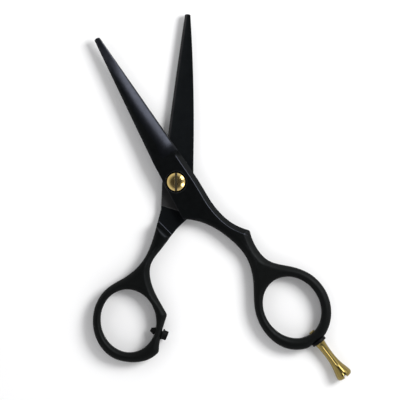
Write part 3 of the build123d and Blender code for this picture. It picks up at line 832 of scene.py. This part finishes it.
def finish(name, base, rough, metal=0.0, spec=0.5, tint=None, spread=0.06, blotch=260.0, grain=5200.0,
           bump=0.15, lines=None, edge_wear_glint=None, worn_rough=0.3, sheen=(1, 1, 1), far_tone=None):
    """A finish with blotches in colour and gloss, a fine grain, optional tool lines, and lighter sharp
    edges, partly edge wear and partly a painted highlight. lines is (scale along X, Y and Z per metre, turn
    about Z, strength). The last argument is the colour that the base turns to away from the pivot."""
    mat = bpy.data.materials.new(name)
    mat.use_nodes = True
    nodes, links = mat.node_tree.nodes, mat.node_tree.links
    shader = nodes["Principled BSDF"]
    shader.inputs["Metallic"].default_value = metal
    shader.inputs["Specular IOR Level"].default_value = spec
    shader.inputs["Specular Tint"].default_value = (*sheen, 1)
    coord = nodes.new("ShaderNodeTexCoord")

    def noise(scale, detail, vector=None):
        n = nodes.new("ShaderNodeTexNoise")
        n.inputs["Scale"].default_value = scale
        n.inputs["Detail"].default_value = detail
        links.new(vector or coord.outputs["Object"], n.inputs["Vector"])
        return n.outputs["Fac"]

    def spread_to(value, low, high, start=0.32, end=0.68):
        n = nodes.new("ShaderNodeMapRange")
        n.inputs["From Min"].default_value, n.inputs["From Max"].default_value = start, end
        n.inputs["To Min"].default_value, n.inputs["To Max"].default_value = low, high
        links.new(value, n.inputs["Value"])
        return n.outputs["Result"]

    def mixed(kind, factor, a, b):
        n = nodes.new("ShaderNodeMix")
        n.data_type = kind
        first, second, out = {"FLOAT": (2, 3, 0), "RGBA": (6, 7, 2)}[kind]
        links.new(factor, n.inputs[0])
        for value, at in ((a, first), (b, second)):
            if isinstance(value, bpy.types.NodeSocket):
                links.new(value, n.inputs[at])
            else:
                n.inputs[at].default_value = value if kind == "FLOAT" else (*value, 1)
        return n.outputs[out]

    cloud = noise(blotch, 4)
    color = mixed("RGBA", spread_to(cloud, 0, 1), base, tint or tuple(c * 1.35 for c in base))
    gloss = spread_to(noise(blotch * 3.1, 3), rough - spread, rough + spread)
    # the base colour turns lighter with distance from the pivot
    if far_tone:
        far = nodes.new("ShaderNodeVectorMath")
        far.operation = "LENGTH"
        links.new(coord.outputs["Object"], far.inputs[0])
        color = mixed("RGBA", spread_to(far.outputs["Value"], 0, 1, FAR_TONE_FROM, FAR_TONE_TO),
                      color, far_tone)
    # sharp edges take a lighter colour: partly edge wear, partly a painted highlight
    if edge_wear_glint:
        attribute = nodes.new("ShaderNodeAttribute")
        attribute.attribute_name = "wear_and_glint"
        amount = nodes.new("ShaderNodeMath")
        amount.operation = "MULTIPLY"
        links.new(attribute.outputs["Fac"], amount.inputs[0])
        links.new(spread_to(noise(WEAR_GLINT_NOISE, 3), 0.25, 1.0), amount.inputs[1])
        color = mixed("RGBA", amount.outputs[0], color, edge_wear_glint)
        gloss = mixed("FLOAT", amount.outputs[0], gloss, worn_rough)
    links.new(color, shader.inputs["Base Color"])
    links.new(gloss, shader.inputs["Roughness"])
    normal = nodes.new("ShaderNodeBump")
    normal.inputs["Strength"].default_value = bump
    normal.inputs["Distance"].default_value = GRAIN_DEPTH
    links.new(noise(grain, 2), normal.inputs["Height"])
    if lines:
        scale, turn, strength = lines
        spin = nodes.new("ShaderNodeMapping")
        spin.inputs["Rotation"].default_value = (0, 0, turn)
        squeeze = nodes.new("ShaderNodeMapping")
        squeeze.inputs["Scale"].default_value = scale
        links.new(coord.outputs["Object"], spin.inputs["Vector"])
        links.new(spin.outputs["Vector"], squeeze.inputs["Vector"])
        tool = nodes.new("ShaderNodeBump")
        tool.inputs["Strength"].default_value = strength
        tool.inputs["Distance"].default_value = LINE_DEPTH
        links.new(noise(1.0, 3, squeeze.outputs["Vector"]), tool.inputs["Height"])
        links.new(normal.outputs["Normal"], tool.inputs["Normal"])
        links.new(tool.outputs["Normal"], shader.inputs["Normal"])
    else:
        links.new(normal.outputs["Normal"], shader.inputs["Normal"])
    return mat


# lighter black on sharp edges: partly edge wear, partly a painted highlight
WORN_GLINT_BLACK = (0.017, 0.018, 0.020)
COAT_BLACK = (0.0009, 0.0011, 0.0012)
TEAL = (0.90, 0.97, 1.0)
BLUE = (0.83, 0.90, 1.0)
VIOLET = (0.74, 0.79, 1.0)


def half_finishes(half, turn):
    """The five finishes of one half: coated, ground bevel, honed edge, ride area, inner face."""
    coat = finish(half + "_coating", COAT_BLACK, 0.47, spec=0.056, spread=0.05, bump=0.12, edge_wear_glint=WORN_GLINT_BLACK,
                  worn_rough=0.34, sheen=TEAL, far_tone=(0.0030, 0.0033, 0.0032))
    bevel = finish(half + "_ground", COAT_BLACK, 0.31, spec=0.195, spread=0.03, bump=0.05,
                   lines=((9000, 260, 260), turn, 0.25), edge_wear_glint=WORN_GLINT_BLACK, worn_rough=0.26, sheen=VIOLET)
    hone = finish(half + "_honed", (0.011, 0.011, 0.0115), 0.32, spec=0.16, spread=0.05, bump=0.04,
                  lines=((300, 14000, 300), turn, 0.3), edge_wear_glint=(0.05, 0.05, 0.052), worn_rough=0.22)
    rub = finish(half + "_ride", (0.017, 0.017, 0.0175), 0.42, spec=0.15, spread=0.06, bump=0.08,
                 lines=((6000, 900, 900), turn, 0.2), edge_wear_glint=(0.09, 0.09, 0.09), worn_rough=0.35)
    inner = finish(half + "_inner", (0.0025, 0.0030, 0.0033), 0.40, spec=0.075, spread=0.04, bump=0.06,
                   lines=((700, 11000, 700), turn, 0.3), edge_wear_glint=WORN_GLINT_BLACK, worn_rough=0.3, sheen=BLUE)
    return coat, bevel, hone, rub, inner


gold_screw = finish("gold_screw", (0.58, 0.42, 0.16), 0.13, 1.0, tint=(0.66, 0.50, 0.20), spread=0.035,
                    blotch=700, bump=0.03, edge_wear_glint=(0.80, 0.68, 0.42), worn_rough=0.10)
# the finger rest's gold plate gets a far darker base than the screw's: painted shade on the same plating
shaded_gold_rest = finish("shaded_gold_rest", (0.22, 0.167, 0.055), 0.15, 1.0, tint=(0.25, 0.192, 0.065), spread=0.04,
                   blotch=420, bump=0.03, lines=((9000, 260, 260), REST_TURN, 0.14),
                   edge_wear_glint=(0.60, 0.50, 0.26), worn_rough=0.16)
# a near-black brown put on the slots' walls and floors as painted shade in the recess
slot_painted_shade = finish("slot_painted_shade", (0.008, 0.0052, 0.0022), 0.6, 0.1, spec=0.08, blotch=1400, bump=0.2,
                    edge_wear_glint=(0.10, 0.075, 0.035), worn_rough=0.4)
rubber = finish("rubber", (0.0022, 0.0023, 0.0022), 0.62, spec=0.06, spread=0.08, blotch=900, grain=3600,
                bump=0.35, edge_wear_glint=(0.006, 0.006, 0.006), worn_rough=0.7)
nylon = finish("nylon", (0.0014, 0.0014, 0.0016), 0.46, spec=0.07, spread=0.07, blotch=800, grain=2600,
               bump=0.12, edge_wear_glint=(0.006, 0.006, 0.006), worn_rough=0.5)
black_glide = finish("black_glide", (0.010, 0.010, 0.0105), 0.42, spec=0.3, spread=0.07, blotch=800,
                     grain=2600, bump=0.12)
acetal = finish("acetal", (0.74, 0.73, 0.69), 0.38, spec=0.4, tint=(0.70, 0.685, 0.63), spread=0.06,
                blotch=600, grain=3000, bump=0.08)
steel = finish("steel", (0.50, 0.50, 0.51), 0.27, 1.0, tint=(0.44, 0.44, 0.46), spread=0.07, blotch=800,
               grain=6000, bump=0.08, lines=((500, 500, 12000), 0.0, 0.3))


def dress(obj, *finishes):
    """Puts the finishes in the piece's material slots, in their order."""
    for k, mat in enumerate(finishes):
        if k < len(obj.data.materials):
            obj.data.materials[k] = mat
        else:
            obj.data.materials.append(mat)


dress(front, *half_finishes("front", -OPEN_HALF))
dress(back, *half_finishes("back", OPEN_HALF))
dress(screw, gold_screw, slot_painted_shade)
dress(rest, shaded_gold_rest, slot_painted_shade)
dress(collar, nylon)
dress(bumper, rubber)
for node, mat in (("head_washer", black_glide), ("spring_washer", steel), ("threaded_insert", steel),
                  ("pivot_bush", acetal), ("lock_pellet", acetal), ("ride_washer", acetal)):
    NODES[node].data.materials.clear()
    NODES[node].data.materials.append(mat)

# ---------------------------------------------------------------- camera
PICTURE_UP = Vector((0.2181, 0.9759, 0)).normalized()
PICTURE_RIGHT = Vector((PICTURE_UP.y, -PICTURE_UP.x, 0))
VIEW_CENTRE = Vector((6.52, -7.66, TOP / 2)) * MM
VIEW_WIDTH = 134.4 * MM
DISTANCE = 1.0
SENSOR = 36.0
camera = bpy.data.objects.new("camera", bpy.data.cameras.new("camera"))
camera.data.sensor_width = SENSOR
camera.data.lens = SENSOR * DISTANCE / VIEW_WIDTH
camera.data.clip_start, camera.data.clip_end = 0.05, 20
camera.matrix_world = Matrix.Translation(VIEW_CENTRE + Vector((0, 0, DISTANCE))) @ Matrix(
    (PICTURE_RIGHT, PICTURE_UP, Vector((0, 0, 1)))).transposed().to_4x4()
bpy.context.scene.collection.objects.link(camera)
bpy.context.scene.camera = camera

# ---------------------------------------------------------------- floor, lights, surroundings
FLOOR_SIZE, FLOOR_GAP = 3.0, 0.00002
LAMP_REACH = 0.6
floor_mesh = bpy.data.meshes.new("floor")
floor_corners = [(x * FLOOR_SIZE, y * FLOOR_SIZE, 0) for x, y in ((-1, -1), (1, -1), (1, 1), (-1, 1))]
floor_mesh.from_pydata(floor_corners, [], [(0, 1, 2, 3)])
floor = bpy.data.objects.new("floor", floor_mesh)
floor.location.z = -FLOOR_GAP
bpy.context.scene.collection.objects.link(floor)
floor_white = finish("floor_white", (0.92, 0.92, 0.92), 0.9, spec=0.1, tint=(0.925, 0.925, 0.925),
                     spread=0.03, blotch=40, grain=900, bump=0.02)
floor_mesh.materials.append(floor_white)


def softbox(name, azimuth, elevation, size, glow, length=None, only=(), never=()):
    """An area light aimed at the object's middle. azimuth turns from +X towards +Y, length lies along the
    finger rest, and glow is how bright its face looks. only names the pieces that it lights, never those
    that it leaves out."""
    a, e = math.radians(azimuth), math.radians(elevation)
    lamp = bpy.data.lights.new(name, "AREA")
    lamp.shape, lamp.size, lamp.size_y = "RECTANGLE", size, length or size
    lamp.energy = glow * math.pi * size * (length or size)
    obj = bpy.data.objects.new(name, lamp)
    way = Vector((math.cos(a) * math.cos(e), math.sin(a) * math.cos(e), math.sin(e)))
    side = REST_SEAT.col[2].to_3d()
    side = (side - way * side.dot(way)).normalized()
    obj.matrix_world = Matrix.Translation(VIEW_CENTRE + way * LAMP_REACH) @ Matrix(
        (side.cross(way), side, way)).transposed().to_4x4()
    bpy.context.scene.collection.objects.link(obj)
    if only or never:
        group = bpy.data.collections.new(name + "_pieces")
        for piece in only or never:
            group.objects.link(piece)
        for entry in group.collection_objects:
            entry.light_linking.link_state = "INCLUDE" if only else "EXCLUDE"
        obj.light_linking.receiver_collection = group
    return obj


GOLD = (screw, rest)
softbox("key", 24, 41, 0.36, 12.8, never=(*GOLD, floor))
softbox("floor_key", 12, 43, 0.26, 14.7, only=(floor,))
softbox("screw_key", 24, 50, 0.18, 4.5, only=(screw,))
softbox("screw_side", -34, 52, 0.16, 6.0, only=(screw,))
softbox("rest_key", 24, 41, 0.26, 1.0, only=(rest,))
softbox("rest_top", 250, 84, 0.10, 12.0, 0.34, only=(rest,))
softbox("rest_flare", 62, 52, 0.20, 8.0, only=(rest,))

# colours of the surroundings from the horizon and below, 0, to straight above, 1
HORIZON, ZENITH = (1, 1, 1, 1), (0.06, 0.06, 0.064, 1)
SKY_BETWEEN = ((0.74, (0.85, 0.85, 0.86, 1)), (0.88, (0.10, 0.10, 0.105, 1)))
SKY_STRENGTH = 1.08
world = bpy.data.worlds.new("studio")
bpy.context.scene.world = world
world.use_nodes = True
tree = world.node_tree
background = tree.nodes["Background"]
coord = tree.nodes.new("ShaderNodeTexCoord")
split = tree.nodes.new("ShaderNodeSeparateXYZ")
ramp = tree.nodes.new("ShaderNodeValToRGB")
tree.links.new(coord.outputs["Generated"], split.inputs[0])
tree.links.new(split.outputs["Z"], ramp.inputs[0])
tree.links.new(ramp.outputs[0], background.inputs["Color"])
stops = ramp.color_ramp.elements
stops[0].color, stops[1].color = HORIZON, ZENITH
for height, color in SKY_BETWEEN:
    stops.new(height).color = color
background.inputs["Strength"].default_value = SKY_STRENGTH
bpy.context.scene.view_settings.view_transform = "Standard"
